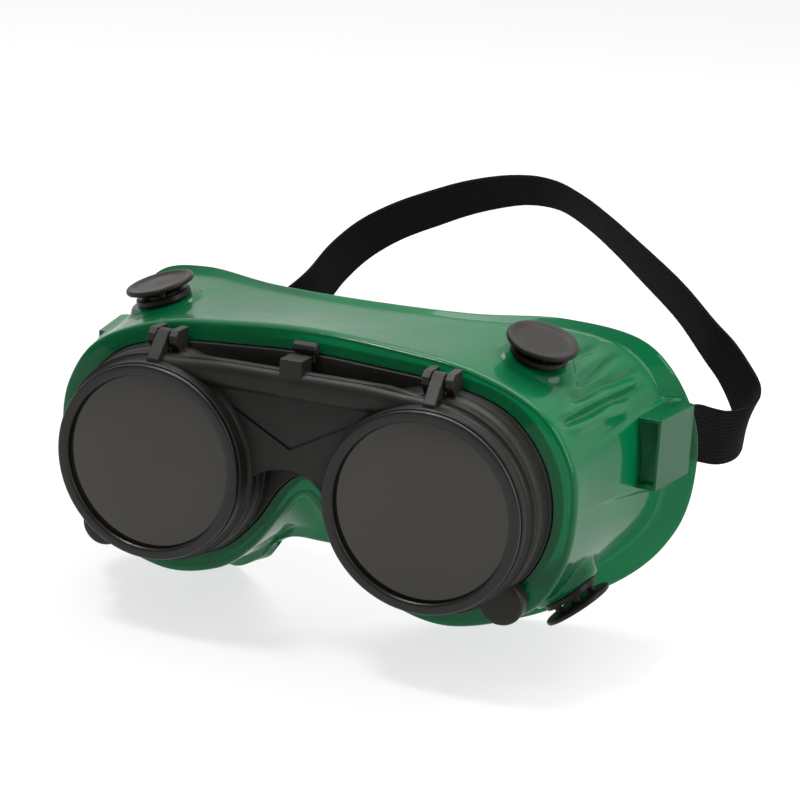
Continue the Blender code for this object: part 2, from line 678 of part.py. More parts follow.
def make_slider():
    """Rounded keeper that both strap layers pass through."""
    along = (SLIDER_RUN[1] - SLIDER_RUN[0]).normalized()
    width = Vector(SLIDER_WIDTH_WAY)
    width = (width - along * width.dot(along)).normalized()
    outward = along.cross(width)
    middle = along_run(SLIDER_AT) - outward * LAYER / 2
    length, depth, height = SLIDER_SIZE
    slider = box("strap_slider", (-length / 2, -depth / 2, -height / 2),
                 (length / 2, depth / 2, height / 2), "black_plastic")
    bevel(slider, 1.6, 2)
    slot_depth = LAYER + STRAP_THICK + 2 * GAP
    slot_height = STRAP_WIDTH + 1.2
    slot = box("slider_slot", (-length, -slot_depth / 2, -slot_height / 2),
               (length, slot_depth / 2, slot_height / 2))
    cut(slider, slot)
    place = Matrix((along, outward, width)).transposed().to_4x4()
    place.translation = middle * MM
    for thing in (slider, slot):
        thing.matrix_local = place


make_body()
make_carrier()
make_flip_front()
make_lenses()
for vent, (seat_point, direction) in VENT_SEATS.items():
    make_vent(vent, seat_point, direction)
strap_frames = make_strap()
make_slider()
make_end_pins(strap_frames)
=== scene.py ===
"""Looks of the welding goggles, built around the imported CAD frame.

Working lengths are millimetres in the lens frame: X across the face, Y from the front of the lens
rings towards the wearer, Z up from the lens centres. place() turns them into metres in the frame of
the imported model. Lights and the floor are in metres.
"""
from math import cos, pi, radians, sin

import bmesh
import bpy
import numpy as np
from mathutils import Matrix, Vector


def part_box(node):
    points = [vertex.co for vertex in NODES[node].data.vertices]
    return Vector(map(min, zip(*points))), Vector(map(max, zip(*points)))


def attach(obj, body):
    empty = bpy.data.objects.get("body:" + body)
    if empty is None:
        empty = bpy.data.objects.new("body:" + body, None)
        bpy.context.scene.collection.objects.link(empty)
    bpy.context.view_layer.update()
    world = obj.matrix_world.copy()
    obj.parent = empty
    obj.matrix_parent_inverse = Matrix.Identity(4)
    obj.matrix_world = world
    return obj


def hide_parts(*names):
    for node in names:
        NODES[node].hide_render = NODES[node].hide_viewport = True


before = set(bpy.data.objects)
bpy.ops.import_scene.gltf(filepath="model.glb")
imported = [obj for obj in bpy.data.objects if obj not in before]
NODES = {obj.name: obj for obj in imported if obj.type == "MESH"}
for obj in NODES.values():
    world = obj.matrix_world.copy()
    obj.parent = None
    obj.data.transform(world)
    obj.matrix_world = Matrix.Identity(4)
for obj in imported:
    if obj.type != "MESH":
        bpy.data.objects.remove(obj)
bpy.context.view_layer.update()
MM = 0.001


def centre_of(node):
    low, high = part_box(node)
    return (low + high) / 2


RING_LOW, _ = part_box("dark_lens_ring_right")
SEAT_DEPTH = -RING_LOW.y / MM                     # front of the rings to the brow seal
EYE_X = centre_of("dark_lens_right").x / MM       # half the lens spacing


def place(x, y, z):
    return Vector((x, y - SEAT_DEPTH, z)) * MM


# ------------------------------------------------------------------------------- node helpers
class Shader:
    """Small wrapper that adds nodes to one material."""

    def __init__(self, name, base, roughness, metallic=0.0, **extra):
        self.mat = bpy.data.materials.new(name)
        self.mat.use_nodes = True
        self.tree = self.mat.node_tree
        self.main = self.tree.nodes["Principled BSDF"]
        self.main.inputs["Base Color"].default_value = (*base, 1)
        self.main.inputs["Roughness"].default_value = roughness
        self.main.inputs["Metallic"].default_value = metallic
        for key, value in extra.items():
            self.main.inputs[key.replace("_", " ")].default_value = value

    def node(self, kind, **values):
        node = self.tree.nodes.new("ShaderNode" + kind)
        for key, value in values.items():
            if key in node.inputs:
                node.inputs[key].default_value = value
            else:
                setattr(node, key, value)
        return node

    def link(self, source, out, target, into):
        self.tree.links.new(source.outputs[out], target.inputs[into])

    def noise(self, scale, detail=4.0, stretch=(1, 1, 1), roughness=0.55):
        coord = self.node("TexCoord")
        scaled = self.node("Mapping")
        scaled.inputs["Scale"].default_value = stretch
        self.link(coord, "Object", scaled, "Vector")
        noise = self.node("TexNoise")
        noise.inputs["Scale"].default_value = scale
        noise.inputs["Detail"].default_value = detail
        noise.inputs["Roughness"].default_value = roughness
        self.link(scaled, "Vector", noise, "Vector")
        return noise

    def ramp(self, source, out, stops):
        ramp = self.node("ValToRGB")
        elements = ramp.color_ramp.elements
        while len(elements) < len(stops):
            elements.new(0.5)
        for element, (at, colour) in zip(elements, stops):
            element.position = at
            element.color = (*colour, 1) if len(colour) == 3 else colour
        self.link(source, out, ramp, "Fac")
        return ramp

    def mix(self, kind, factor, a, b):
        """factor, a and b are (node, output) pairs or plain values."""
        mix = self.node("Mix", data_type="RGBA", blend_type=kind)
        for index, value in ((0, factor), (6, a), (7, b)):
            if isinstance(value, tuple) and hasattr(value[0], "outputs"):
                self.tree.links.new(value[0].outputs[value[1]], mix.inputs[index])
            elif index == 0:
                mix.inputs[0].default_value = value
            else:
                mix.inputs[index].default_value = (*value, 1)
        return mix

    def bump(self, height, out, strength, distance, before=None):
        bump = self.node("Bump")
        bump.inputs["Strength"].default_value = strength
        bump.inputs["Distance"].default_value = distance
        self.link(height, out, bump, "Height")
        if before:
            self.link(before, "Normal", bump, "Normal")
        self.link(bump, "Normal", self.main, "Normal")
        return bump


def vinyl():
    """Glossy green vinyl that lets some light through."""
    s = Shader("green_vinyl", (0.0, 0.12, 0.04), 0.4, IOR=1.12)
    s.main.inputs["Transmission Weight"].default_value = 0.6
    s.main.inputs["Coat Weight"].default_value = 0.42
    s.main.inputs["Coat IOR"].default_value = 1.42
    s.main.inputs["Coat Roughness"].default_value = 0.05
    cloud = s.noise(22, 3)
    colour = s.ramp(cloud, "Fac", [(0.3, (0.0, 0.122, 0.04)), (0.7, (0.0, 0.17, 0.058))])
    s.link(colour, "Color", s.main, "Base Color")
    wear = s.noise(90, 5)
    rough = s.ramp(wear, "Fac", [(0.35, (0.34,) * 3), (0.75, (0.46,) * 3)])
    s.link(rough, "Color", s.main, "Roughness")
    wave = s.noise(30, 2)
    soft = s.bump(wave, "Fac", 0.1, 0.002)
    speck = s.bump(s.noise(900, 2), "Fac", 0.03, 0.0003, soft)
    s.link(speck, "Normal", s.main, "Coat Normal")
    return s.mat


def black_plastic(name, dark, light, rough_low, rough_high, gloss, grain=0.12):
    """Satin moulded plastic with a faint haze, dust and scuffs."""
    s = Shader(name, light, 0.4)
    s.main.inputs["Specular IOR Level"].default_value = gloss
    haze = s.noise(38, 6, (1, 1, 1), 0.62)
    tone = s.ramp(haze, "Fac", [(0.3, dark), (0.72, light)])
    dust = s.noise(1500, 2)
    spots = s.ramp(dust, "Fac", [(0.0, (0, 0, 0)), (0.74, (0, 0, 0)), (0.82, (0.35,) * 3)])
    colour = s.mix("MIX", (spots, "Color"), (tone, "Color"), (0.09, 0.086, 0.08))
    s.link(colour, "Result", s.main, "Base Color")
    scuff = s.noise(120, 6, (1, 1, 2.5), 0.7)
    rough = s.ramp(scuff, "Fac", [(0.3, (rough_low,) * 3), (0.75, (rough_high,) * 3)])
    s.link(rough, "Color", s.main, "Roughness")
    swell = s.bump(s.noise(60, 2), "Fac", 0.1, 0.0012)
    s.bump(s.noise(1400, 3), "Fac", grain, 0.0002, swell)
    return s.mat


def glass_dark():
    """Filter glass, so dark that it shows as a polished black face with faint smears."""
    s = Shader("dark_glass", (0.012, 0.01, 0.006), 0.035, IOR=1.5)
    smear = s.noise(45, 4, (1, 1, 1), 0.6)
    rough = s.ramp(smear, "Fac", [(0.35, (0.025,) * 3), (0.8, (0.07,) * 3)])
    s.link(rough, "Color", s.main, "Roughness")
    tone = s.ramp(s.noise(22, 2), "Fac",
                  [(0.3, (0.011, 0.0088, 0.0035)), (0.7, (0.017, 0.0138, 0.0066))])
    s.link(tone, "Color", s.main, "Base Color")
    return s.mat


def glass_clear():
    """Cover lens: clear glass with a slight smear."""
    s = Shader("clear_glass", (0.9, 0.95, 0.93), 0.02, IOR=1.5)
    s.main.inputs["Transmission Weight"].default_value = 1.0
    smear = s.ramp(s.noise(60, 4), "Fac", [(0.4, (0.0,) * 3), (0.85, (0.02,) * 3)])
    s.link(smear, "Color", s.main, "Roughness")
    return s.mat


def steel():
    """Drawn wire of the pins."""
    s = Shader("steel", (0.55, 0.55, 0.56), 0.3, 1.0)
    streak = s.noise(900, 3, (0.05, 1, 1))
    rough = s.ramp(streak, "Fac", [(0.3, (0.2,) * 3), (0.8, (0.42,) * 3)])
    s.link(rough, "Color", s.main, "Roughness")
    s.bump(streak, "Fac", 0.1, 0.0001)
    return s.mat


def webbing():
    """Black knitted elastic: cords along the strap crossed by fine picks, with painted shade in the
    grooves between them. UV is in metres.
    """
    s = Shader("elastic_webbing", (0.006, 0.0058, 0.0054), 0.85)
    s.main.inputs["Sheen Weight"].default_value = 0.02
    s.main.inputs["Sheen Roughness"].default_value = 0.4
    s.main.inputs["Specular IOR Level"].default_value = 0.06
    uv = s.node("UVMap")
    waves = []
    for direction, scale in (("Y", 300.0), ("X", 420.0)):
        wave = s.node("TexWave", bands_direction=direction)
        wave.inputs["Scale"].default_value = scale
        wave.inputs["Distortion"].default_value = 0.6
        wave.inputs["Detail"].default_value = 1.0
        s.link(uv, "UV", wave, "Vector")
        waves.append(wave)
    weave_relief_and_shade = s.mix("MULTIPLY", 0.65, (waves[0], "Color"), (waves[1], "Color"))
    # painted shade: the colour follows the weave's relief and is darker in its grooves
    colour = s.ramp(weave_relief_and_shade, "Result",
                    [(0.0, (0.0014, 0.0013, 0.0011)), (1.0, (0.006, 0.0056, 0.0048))])
    s.link(colour, "Color", s.main, "Base Color")
    fuzz = s.noise(700, 4)
    low = s.bump(fuzz, "Fac", 0.25, 0.0003)
    s.bump(weave_relief_and_shade, "Result", 0.5, 0.0003, low)
    return s.mat


GREEN = vinyl()
BLACK = black_plastic("black_plastic", (0.007, 0.0066, 0.0056), (0.017, 0.0162, 0.0138),
                      0.36, 0.52, 0.2)
RIM_BLACK = black_plastic("rim_plastic", (0.005, 0.0048, 0.0043), (0.009, 0.0086, 0.0078),
                          0.26, 0.4, 0.32, grain=0.06)
VENT_BLACK = black_plastic("vent_plastic", (0.009, 0.0072, 0.006), (0.017, 0.0138, 0.0115),
                           0.3, 0.46, 0.13)
DARK_GLASS, CLEAR_GLASS, STEEL, WEBBING = glass_dark(), glass_clear(), steel(), webbing()


# ------------------------------------------------------------------------------- mesh helpers
def finish_mesh(name, bm, material, angle=40):
    bmesh.ops.recalc_face_normals(bm, faces=bm.faces)
    mesh = bpy.data.meshes.new(name)
    bm.to_mesh(mesh)
    bm.free()
    mesh.shade_smooth()
    mesh.set_sharp_from_angle(angle=radians(angle))
    mesh.materials.append(material)
    thing = bpy.data.objects.new(name, mesh)
    bpy.context.scene.collection.objects.link(thing)
    return thing


def grid(name, rows, material, close_columns=True, close_rows=False, caps=False, angle=40):
    """Skin over rows of points (lens frame, mm)."""
    bm = bmesh.new()
    verts = [[bm.verts.new(place(*p)) for p in row] for row in rows]
    count = len(rows[0])
    pairs = list(zip(verts, verts[1:]))
    if close_rows:
        pairs.append((verts[-1], verts[0]))
    for near, far in pairs:
        for i in range(count if close_columns else count - 1):
            j = (i + 1) % count
            bm.faces.new((near[i], near[j], far[j], far[i]))
    if caps:
        bm.faces.new(verts[0])
        bm.faces.new(verts[-1])
    return finish_mesh(name, bm, material, angle)


def turned_rows(profile, centre, axis, steps):
    """Rows for a profile of (radius, height) turned about an axis. Radius 0 is not used."""
    axis = Vector(axis).normalized()
    side = axis.orthogonal().normalized()
    other = axis.cross(side)
    centre = Vector(centre)
    rows = []
    for radius, height in profile:
        rows.append([centre + axis * height
                     + (side * cos(2 * pi * k / steps) + other * sin(2 * pi * k / steps)) * radius
                     for k in range(steps)])
    return rows


def turned(name, profile, centre, axis, material, steps=96, ring=True, angle=40):
    """Turned piece. ring closes the profile on itself, otherwise its ends are capped."""
    rows = turned_rows(profile, centre, axis, steps)
    return grid(name, rows, material, close_rows=ring, caps=not ring, angle=angle)


def prism(name, outline, axis, low, high, material, bevel=0.0, segments=2):
    """Closed outline extruded along one axis. It holds the other two coordinates in order."""
    def point(pair, level):
        a, b = pair
        return {"x": (level, a, b), "y": (a, level, b), "z": (a, b, level)}[axis]
    bm = bmesh.new()
    ends = [[bm.verts.new(place(*point(p, level))) for p in outline] for level in (low, high)]
    count = len(outline)
    for i in range(count):
        j = (i + 1) % count
        bm.faces.new((ends[0][i], ends[0][j], ends[1][j], ends[1][i]))
    bm.faces.new(ends[0])
    bm.faces.new(ends[1])
    thing = finish_mesh(name, bm, material, 50)
    if bevel:
        add_bevel(thing, bevel, segments)
    return thing


def block(name, low, high, material, bevel=0.3, segments=2):
    (x0, y0, z0), (x1, y1, z1) = low, high
    outline = [(x0, y0), (x1, y0), (x1, y1), (x0, y1)]
    return prism(name, outline, "z", z0, z1, material, bevel, segments)


def add_bevel(thing, width, segments=2, angle=40):
    modifier = thing.modifiers.new("bevel", "BEVEL")
    modifier.width = width * MM
    modifier.segments = segments
    modifier.limit_method = "ANGLE"
    modifier.angle_limit = radians(angle)
    modifier.harden_normals = True


def applied(thing):
    """Replaces the object's mesh by its evaluated one."""
    graph = bpy.context.evaluated_depsgraph_get()
    mesh = bpy.data.meshes.new_from_object(thing.evaluated_get(graph))
    thing.modifiers.clear()
    thing.data = mesh
    return thing


def carve(thing, cutters, operation="DIFFERENCE"):
    for cutter in cutters:
        modifier = thing.modifiers.new("carve", "BOOLEAN")
        modifier.operation = operation
        modifier.solver = "EXACT"
        modifier.object = cutter
    applied(thing)
    for cutter in cutters:
        bpy.data.objects.remove(cutter)
    return thing


def joined(name, pieces):
    """One object from several, with their modifiers applied."""
    bm = bmesh.new()
    materials = []
    for piece in pieces:
        applied(piece)
        start = len(bm.faces)
        bm.from_mesh(piece.data)
        bm.faces.ensure_lookup_table()
        for material in piece.data.materials:
            if material not in materials:
                materials.append(material)
        index = materials.index(piece.data.materials[0])
        for face in bm.faces[start:]:
            face.material_index = index
        bpy.data.objects.remove(piece)
    mesh = bpy.data.meshes.new(name)
    bm.to_mesh(mesh)
    bm.free()
    for material in materials:
        mesh.materials.append(material)
    thing = bpy.data.objects.new(name, mesh)
    bpy.context.scene.collection.objects.link(thing)
    return thing


def settle(thing, body, slot, *nodes):
    """The piece rides on its body and stands for its CAD nodes, which it hides. The slot argument
    is not used.
    """
    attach(thing, body)
    if nodes:
        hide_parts(*nodes)
    return thing


def spline_point(a, b, c, d, t):
    """Point between b and c on a smooth curve through all four."""
    return 0.5 * (2 * b + (c - a) * t + (2 * a - 5 * b + 4 * c - d) * t ** 2
                  + (3 * b - a - 3 * c + d) * t ** 3)


def closed_spline(half, per_span):
    """Closed curve through the points of the right half and their mirror images."""
    points = [Vector(p) for p in half]
    points += [Vector((-p.x, p.y, p.z)) for p in reversed(points[1:-1])]
    count = len(points)
    return [spline_point(points[i - 1], points[i], points[(i + 1) % count], points[(i + 2) % count],
                         step / per_span) for i in range(count) for step in range(per_span)]


def smoothstep(low, high, value):
    t = np.clip((value - low) / (high - low), 0, 1)
    return t * t * (3 - 2 * t)


# ------------------------------------------------------------------------------- camera and light
AZIMUTH, ELEVATION, ROLL = 21.4, 16.65, 3.0              # degrees
CAMERA_BACK, CAMERA_RIGHT, CAMERA_UP = 524, 31.95, 23.2  # from between the lens centres, mm
FOCAL_LENGTH, SENSOR_WIDTH = 90, 36
CLIP_START, CLIP_END = 0.01, 20

LIGHTS = {  # place, size and power in watts; all point at the origin
    "key": ((-0.3, -0.35, 1.2), (0.3, 0.22), 11),
    "top": ((0.15, 0.45, 1.1), (1.2, 0.5), 10),
    "side": ((1.1, -0.1, 0.45), (0.6, 0.7), 6.5),
}
SKY_STOPS = {  # place on the way from -1 to 1 along an axis, and brightness
    "Y": ((0.2, 0.16), (0.55, 0.34), (0.85, 1.0)),
    "Z": ((0.5, 0.0), (0.72, 0.1), (0.95, 0.55)),
}
FLOOR_HALF, FLOOR_GAP = 6, 0.0004
FLOOR_GREY, FLOOR_ROUGHNESS, FLOOR_GLOSS, FLOOR_GLOW = 0.24, 0.9, 0.1, 0.7


def make_camera():
    azimuth, elevation, roll = radians(AZIMUTH), radians(ELEVATION), radians(ROLL)
    back = Vector((sin(azimuth) * cos(elevation), -cos(azimuth) * cos(elevation), sin(elevation)))
    right = (-back).cross(Vector((0, 0, 1))).normalized()
    up = right.cross(-back)
    right, up = right * cos(roll) + up * sin(roll), up * cos(roll) - right * sin(roll)
    spot = back * CAMERA_BACK + right * CAMERA_RIGHT + up * CAMERA_UP
    data = bpy.data.cameras.new("camera")
    data.lens, data.sensor_width = FOCAL_LENGTH, SENSOR_WIDTH
    data.clip_start, data.clip_end = CLIP_START, CLIP_END
    camera = bpy.data.objects.new("camera", data)
    matrix = Matrix((right, up, back)).transposed().to_4x4()
    matrix.translation = place(*spot)
    camera.matrix_world = matrix
    bpy.context.scene.collection.objects.link(camera)
    bpy.context.scene.camera = camera


def area_light(name, spot, size, power):
    data = bpy.data.lights.new(name, "AREA")
    data.shape = "RECTANGLE"
    data.size, data.size_y = size
    data.energy = power
    light = bpy.data.objects.new(name, data)
    light.location = spot
    light.rotation_euler = (-Vector(spot)).to_track_quat("-Z", "Y").to_euler()
    bpy.context.scene.collection.objects.link(light)


def sky(world):
    """Soft studio surround: bright overhead and behind the wearer, dim in front of the lenses."""
    tree = world.node_tree
    background = tree.nodes["Background"]
    background.inputs["Strength"].default_value = 1.0
    coord = tree.nodes.new("ShaderNodeTexCoord")
    axes = tree.nodes.new("ShaderNodeSeparateXYZ")
    tree.links.new(coord.outputs["Generated"], axes.inputs[0])
    ramps = []
    for axis, stops in SKY_STOPS.items():
        span = tree.nodes.new("ShaderNodeMapRange")
        span.inputs["From Min"].default_value = -1
        tree.links.new(axes.outputs[axis], span.inputs["Value"])
        ramp = tree.nodes.new("ShaderNodeValToRGB")
        ramp.color_ramp.interpolation = "EASE"
        ramp.color_ramp.elements.new(0.5)
        for element, (at, level) in zip(ramp.color_ramp.elements, stops):
            element.position = at
            element.color = (level, level, level, 1)
        tree.links.new(span.outputs[0], ramp.inputs["Fac"])
        ramps.append(ramp)
    total = tree.nodes.new("ShaderNodeMix")
    total.data_type = "RGBA"
    total.blend_type = "ADD"
    total.inputs[0].default_value = 1
    for index, ramp in zip((6, 7), ramps):
        tree.links.new(ramp.outputs["Color"], total.inputs[index])
    tree.links.new(total.outputs[2], background.inputs["Color"])


def make_stage():
    scene = bpy.context.scene
    scene.view_settings.view_transform = "Standard"
    world = bpy.data.worlds.new("studio")
    world.use_nodes = True
    sky(world)
    scene.world = world
    low = min(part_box(n)[0].z for n in NODES)
    bm = bmesh.new()
    bmesh.ops.create_grid(bm, x_segments=1, y_segments=1, size=FLOOR_HALF)
    paper = Shader("studio_floor", (FLOOR_GREY,) * 3, FLOOR_ROUGHNESS)
    paper.main.inputs["Emission Color"].default_value = (1, 1, 1, 1)
    paper.main.inputs["Emission Strength"].default_value = FLOOR_GLOW
    paper.main.inputs["Specular IOR Level"].default_value = FLOOR_GLOSS
    floor = finish_mesh("studio_floor", bm, paper.mat)
    floor.location.z = low - FLOOR_GAP
    for name, (spot, size, power) in LIGHTS.items():
        area_light(name, spot, size, power)


make_camera()
make_stage()

# ------------------------------------------------------------------------------- green eye cup
# Right half of four closed curves from front to back: the edge of the front wall's opening, the
# round corner of the front wall, the back of the side wall and the rim of the face flange.
OPENING = [(0, 16, 33.6), (20, 16, 32.7)]
OPENING += [(EYE_X + 31 * cos(radians(a)), 16, 31 * sin(radians(a)))
            for a in (90, 57, 27, -3, -32, -61, -90, -119, -146)]
OPENING += [(6.4, 16, -6.0), (0, 16, -1.3)]
FACE = [(0, 19.5, 39.2), (24, 19.5, 37.9), (46, 19.5, 35.0), (65, 19.5, 26.9), (74.2, 19.5, 14.2),
        (76.3, 19.5, 0), (73.6, 19.5, -16), (64.4, 19.5, -29.2), (44, 19.5, -36.9),
        (27, 19.5, -34.2), (15.8, 19.5, -26.1), (6.5, 19.5, -14.3), (0, 19.5, -8)]
BACK = [(0, 53.5, 37.4), (30, 55.3, 37.7), (54, 61.6, 37.5), (72, 69.6, 31.8), (82, 75, 17),
        (84.2, 76.5, -3), (81.5, 75, -17.5), (70, 69.5, -30.5), (46, 60, -45.5), (27, 50, -38.5),
        (17, 40, -28.5), (8.5, 31.5, -22.3), (0, 28, -20.8)]
FLANGE = [(0, 57, 38.8), (30, 58.7, 39.0), (56, 65.4, 39.6), (77, 73.8, 33.5), (89.2, 79.9, 15.5),
          (91.8, 81.3, -3), (88, 79.2, -21.5), (75, 72.9, -36.5), (47, 62.6, -50.5), (31, 53, -44),
          (20, 43, -33), (10, 34, -26.5), (0, 30, -24.7)]
VENTS = {  # where each vent sits on the wall, and which way it points
    "top_left": ((-55.9, 39.8, 34.6), (-0.25, -0.156, 0.955)),
    "top_right": ((55.9, 39.8, 34.6), (0.25, -0.156, 0.955)),
    "bottom_left": ((-69.2, 39.0, -28.0), (-0.64, 0.0, -0.77)),
    "bottom_right": ((69.2, 39.0, -28.0), (0.64, 0.0, -0.77)),
}
WALL = 1.8                                # thickness of the vinyl
STRAP_Z = 7.7                             # height of the strap's middle at the lugs
FRONT_DISH = 0.35                         # fall of the front wall as a share of the way out
CORNER_SHARE, CORNER_DEPTH = 0.2, 0.7     # round corner between the front and side walls
WAIST = 0.012                             # how much the side wall draws in halfway back
BEND_END = 0.2                            # share of the flange that the bend into it takes
RIM_SWELL = 0.45                          # how far the flange's edge rounds out
SPANS, QUICK_SPANS = 32, 6                # columns between two points of a curve
BAND_TALL = 1.0                           # height of the band that leads to each lug
BAND_TOP, BAND_BOTTOM = (14.2, 29, 0.078), (-0.2, 32, -0.15)  # z, the y where it is so, and slope
PAD_FLAT, PAD_EDGE, PAD_REACH, PAD_TALL = 9.3, 11.3, 9, 0.5   # round pad under a vent


def skin_rows(per_span):
    """Rows of the cup's outer skin as one array: row, column, xyz."""
    opening, face, back, flange = (np.array([tuple(p) for p in closed_spline(h, per_span)])
                                   for h in (OPENING, FACE, BACK, FLANGE))

    def mixed(a, b, share, depth=None):
        depth = share if depth is None else depth
        out = a + (b - a) * share
        out[:, 1] = a[:, 1] + (b[:, 1] - a[:, 1]) * depth
        return out

    rows = [mixed(opening, face, share, FRONT_DISH * share) for share in (0, 0.2, 0.4, 0.6, 0.75)]
    for angle in np.linspace(0, 90, 9):
        turn = radians(angle)
        rows.append(mixed(face, opening, CORNER_SHARE * (1 - sin(turn)), CORNER_DEPTH * cos(turn)))
    for share in (*np.linspace(0.008, 0.1, 10), *np.linspace(0.12, 0.95, 46)):
        row = mixed(face, back, share)
        waist = 1 - WAIST * sin(pi * share)
        row[:, 0] *= waist
        row[:, 2] *= waist
        rows.append(row)
    bend_start, bend_end = rows[-1], mixed(back, flange, BEND_END)
    for t in np.linspace(0.12, 1, 8):
        rows.append(bend_start * (1 - t) ** 2 + back * 2 * t * (1 - t) + bend_end * t ** 2)
    for share in np.linspace(0.36, 1, 5):
        rows.append(mixed(back, flange, share))
    return np.array(rows)


def skin_normals(rows):
    """Unit normals that point out of the cup."""
    along = np.roll(rows, -1, 1) - np.roll(rows, 1, 1)
    down = np.gradient(rows, axis=0)
    normal = np.cross(along, down)
    normal /= np.linalg.norm(normal, axis=2, keepdims=True) + 1e-9
    middle = rows.shape[0] // 2
    if normal[middle, 0, 2] < 0:
        normal = -normal
    return normal


# Creases and ridges of the side wall: angle round the lens at the front and the back end, the
# depths between which they run, and their height and half width.
PLEATS = [
    (46.2, 44.8, 38, 68, -1.3, 1.2), (43.6, 36.0, 31, 71, -1.3, 1.2),
    (37.4, 30.8, 21, 69, -1.4, 1.2), (49.2, 47.8, 36, 66, 0.8, 1.5),
    (40.4, 33.6, 22, 68, 1.1, 1.3), (34.0, 27.4, 22, 58, 0.8, 1.4),
    (56.0, 53.0, 44, 66, -0.9, 1.2),
]


def relief(rows):
    """Height of the pleats and of the bands towards the lugs above the plain wall, in mm."""
    x, y, z = (rows[..., i] for i in range(3))
    angle = np.degrees(np.arctan2(z, np.abs(x) - EYE_X))
    radius = np.hypot(z, np.abs(x) - EYE_X)
    height = np.zeros_like(x)
    for first, last, start, end, tall, half in PLEATS:
        middle = first + (last - first) * (y - start) / (end - start)
        middle += 0.45 * np.sin(0.3 * y + first)
        across = radians(1) * (angle - middle) * radius
        fade = smoothstep(start - 1, start + 6, y) * (1 - smoothstep(end - 9, end + 1, y))
        height += fade * tall * np.exp(-(across / half) ** 2)
    top, bottom = (level + (y - at) * slope for level, at, slope in (BAND_TOP, BAND_BOTTOM))
    band = smoothstep(bottom - 0.8, bottom + 0.3, z) * (1 - smoothstep(top - 0.3, top + 0.8, z))
    band *= smoothstep(23, 56, y) * (1 - smoothstep(76, 79, y)) * (np.abs(x) > 60)
    return height + BAND_TALL * band


def pads(rows):
    """Flat round pads under the vents."""
    for seat, out in VENTS.values():
        seat, out = np.array(seat), np.array(out) / np.linalg.norm(out)
        rel = rows - seat
        high = rel @ out
        flat = rel - high[..., None] * out
        reach = np.linalg.norm(flat, axis=2)
        share = (1 - smoothstep(PAD_FLAT, PAD_EDGE, reach)) * (np.abs(high) < PAD_REACH)
        rows = rows + (share * (PAD_TALL - high))[..., None] * out
    return rows


def make_cup():
    base = skin_rows(SPANS)
    normal = skin_normals(base)
    outer = pads(base + normal * relief(base)[..., None])
    inner = base - normal * WALL
    lip = [outer[-1] * (1 - t) + inner[-1] * t + normal_edge(base) * RIM_SWELL * sin(pi * t)
           for t in (0.25, 0.5, 0.75)]
    rows = list(outer) + lip + list(inner[::-1])
    points = [[tuple(p) for p in row] for row in rows]
    return grid("vinyl_cup", points, GREEN, close_rows=True, angle=60)


def normal_edge(base):
    """Direction straight out of the flange's edge."""
    out = base[-1] - base[-2]
    return out / (np.linalg.norm(out, axis=1, keepdims=True) + 1e-9)


LUG_FRONT, LUG_BACK = (86.9, 56.0), (91.2, 77.5)         # its outer edge from above
LUG_LOW, LUG_HIGH, LUG_WALL = -2.3, 17.7, 1.1


def make_lug(side):
    """Strap lug on the side wall, open at the back for the strap and hollow round its end pin."""
    (x0, y0), (x1, y1) = LUG_FRONT, LUG_BACK
    inside = LUG_LOW + LUG_WALL, LUG_HIGH - LUG_WALL

    def upright(label, plan, bottom, top):
        return prism(label, [(side * x, y) for x, y in plan], "z", bottom, top, GREEN)

    name = "strap_lug_right" if side > 0 else "strap_lug_left"
    bulge = [(x1 - 0.25, y1 - 1.6), (x1 - 0.9, y1 - 0.5), (x1 - 1.8, y1)]
    body = upright(name, [(80.2, y0 + 0.4), (82.0, y0), (x0, y0), *bulge, (83.4, y1)],
                   LUG_LOW, LUG_HIGH)
    mouth = upright("mouth", ((80.4, y0 - 2), (x0 - 0.9, y0 - 2), (x0 - 0.7, 58.2), (80.6, 58.2)),
                    *inside)
    pocket = upright("pocket", ((81.2, 59.3), (x0 - 1.0, 59.3), (x1 - 2.0, 73.0), (82.6, 73.0)),
                     *inside)
    slot = upright("slot", ((84.5, 72.0), (88.8, 72.0), (90.4, 84.0), (86.3, 84.0)), *inside)
    carve(body, [mouth, pocket, slot])
    add_bevel(body, 0.45, 3, 35)
    return body


settle(make_cup(), "goggles", "green_vinyl", "goggle_body")
for lug_side in (1, -1):
    settle(applied(make_lug(lug_side)), "goggles", "green_vinyl", "goggle_body")


# ------------------------------------------------------------------------------- lens carrier
HINGE_Y, HINGE_Z = 10.6, 32.95            # line of the hinge pins
WINDOW_RADIUS = 23.6                      # clear view through the carrier and the front
PLUG_FRONT, PLUG_BACK, REAR_BACK = 14.8, 18.2, 19.8   # plate in the opening, and its rear lip
EYE_CUP_FRONT = 8.9
KNUCKLE_RADIUS = 2.5
ARM_HALF = 1.75                           # half the width of a hinge arm and its barrel


def grown(points, distance):
    """The outline moved outwards by a distance, as (x, z) pairs."""
    result = []
    for i, point in enumerate(points):
        along = points[(i + 1) % len(points)] - points[i - 1]
        moved = point + Vector((-along.z, 0, along.x)).normalized() * distance
        result.append((moved.x, moved.z))
    return result


def disc(name, x, z, front, back, radius, steps=96):
    profile = [(radius, 0), (radius, back - front)]
    return turned(name, profile, (x, front, z), (0, 1, 0), BLACK, steps, ring=False)


def knuckle(name, x_low, x_high):
    """Fixed half of a hinge: eight-sided round the pin, with a foot that runs back to the plate."""
    reach = KNUCKLE_RADIUS / cos(pi / 8)
    outline = [(HINGE_Y + reach * cos(radians(a)), HINGE_Z + reach * sin(radians(a)))
               for a in (67.5, 112.5, 157.5, 202.5, 247.5)]
    outline += [(10.2, 29.2), (15.4, 29.2), (15.4, 35.45)]
    return prism(name, outline, "x", x_low, x_high, BLACK, 0.25)


